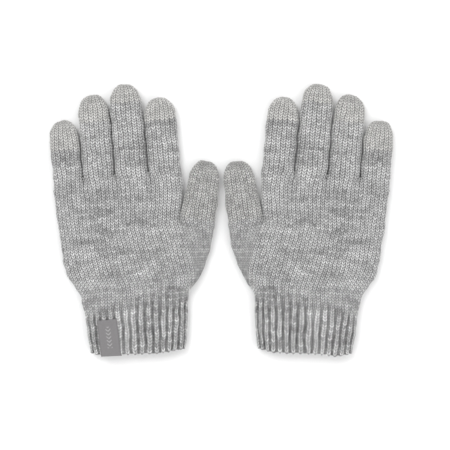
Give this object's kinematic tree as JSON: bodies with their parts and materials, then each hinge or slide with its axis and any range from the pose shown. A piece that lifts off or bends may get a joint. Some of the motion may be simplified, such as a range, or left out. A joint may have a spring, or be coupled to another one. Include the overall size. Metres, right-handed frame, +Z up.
{
  "type": "touchscreen gloves",
  "caption": "Pair of knitted gloves with ribbed cuffs, conductive-yarn thumbs and fingertips for touchscreens, and a blank woven label on one cuff.",
  "frame": {"origin": "middle of the pair's footprint, on the surface the gloves lie on", "axes": "+X across the pair from the left-hand glove to the right-hand one, +Y from the cuffs towards the fingertips, +Z up, out of the backs of the hands"},
  "size_m": [0.2738, 0.2172, 0.0144],
  "materials": {
    "main_yarn": "heather grey brushed acrylic knit, matt",
    "conductive_yarn": "fine plain knit with conductive filament, slightly warm light grey, matt",
    "elastic": "covered elastic thread, matt",
    "label_satin": "woven satin ribbon, soft sheen",
    "sewing_thread": "polyester thread"
  },
  "bodies": {
    "left_hand": {"left_cuff": "main_yarn", "left_cuff_elastic": "elastic", "left_lower_hand": "main_yarn", "left_upper_hand": "main_yarn", "left_crotch_loops": "main_yarn", "left_label": "label_satin", "left_label_stitching": "sewing_thread"},
    "left_little": {"left_little_finger": "main_yarn", "left_little_fingertip": "conductive_yarn"},
    "left_ring": {"left_ring_finger": "main_yarn", "left_ring_fingertip": "conductive_yarn"},
    "left_middle": {"left_middle_finger": "main_yarn", "left_middle_fingertip": "conductive_yarn"},
    "left_index": {"left_index_finger": "main_yarn", "left_index_fingertip": "conductive_yarn"},
    "left_thumb": {"left_thumb": "conductive_yarn"},
    "right_hand": {"right_cuff": "main_yarn", "right_cuff_elastic": "elastic", "right_lower_hand": "main_yarn", "right_upper_hand": "main_yarn", "right_crotch_loops": "main_yarn"},
    "right_little": {"right_little_finger": "main_yarn", "right_little_fingertip": "conductive_yarn"},
    "right_ring": {"right_ring_finger": "main_yarn", "right_ring_fingertip": "conductive_yarn"},
    "right_middle": {"right_middle_finger": "main_yarn", "right_middle_fingertip": "conductive_yarn"},
    "right_index": {"right_index_finger": "main_yarn", "right_index_fingertip": "conductive_yarn"},
    "right_thumb": {"right_thumb": "conductive_yarn"}
  },
  "joints": [
    {"name": "left_little_fold", "type": "hinge", "parent": "left_hand", "child": "left_little", "pos_m": [-0.12334, 0.04001, 0.0063], "axis": [0.9962, 0.0872, 0], "range_deg": [0, 80]},
    {"name": "left_ring_fold", "type": "hinge", "parent": "left_hand", "child": "left_ring", "pos_m": [-0.09823, 0.04221, 0.0063], "axis": [0.9962, 0.0872, 0], "range_deg": [0, 80]},
    {"name": "left_middle_fold", "type": "hinge", "parent": "left_hand", "child": "left_middle", "pos_m": [-0.07223, 0.04448, 0.0063], "axis": [0.9962, 0.0872, 0], "range_deg": [0, 80]},
    {"name": "left_index_fold", "type": "hinge", "parent": "left_hand", "child": "left_index", "pos_m": [-0.04593, 0.04678, 0.0063], "axis": [0.9962, 0.0872, 0], "range_deg": [0, 80]},
    {"name": "left_thumb_fold", "type": "hinge", "parent": "left_hand", "child": "left_thumb", "pos_m": [-0.01831, 0.007, 0.0063], "axis": [0.9877, -0.1564, 0], "range_deg": [0, 80]},
    {"name": "right_little_fold", "type": "hinge", "parent": "right_hand", "child": "right_little", "pos_m": [0.12334, 0.04001, 0.0063], "axis": [0.9962, -0.0872, 0], "range_deg": [0, 80]},
    {"name": "right_ring_fold", "type": "hinge", "parent": "right_hand", "child": "right_ring", "pos_m": [0.09823, 0.04221, 0.0063], "axis": [0.9962, -0.0872, 0], "range_deg": [0, 80]},
    {"name": "right_middle_fold", "type": "hinge", "parent": "right_hand", "child": "right_middle", "pos_m": [0.07223, 0.04448, 0.0063], "axis": [0.9962, -0.0872, 0], "range_deg": [0, 80]},
    {"name": "right_index_fold", "type": "hinge", "parent": "right_hand", "child": "right_index", "pos_m": [0.04593, 0.04678, 0.0063], "axis": [0.9962, -0.0872, 0], "range_deg": [0, 80]},
    {"name": "right_thumb_fold", "type": "hinge", "parent": "right_hand", "child": "right_thumb", "pos_m": [0.01831, 0.007, 0.0063], "axis": [0.9877, 0.1564, 0], "range_deg": [0, 80]},
    {"name": "pair_spread", "type": "slide", "parent": "left_hand", "child": "right_hand", "axis": [1, 0, 0], "range_m": [0, 0.03]}
  ]
}
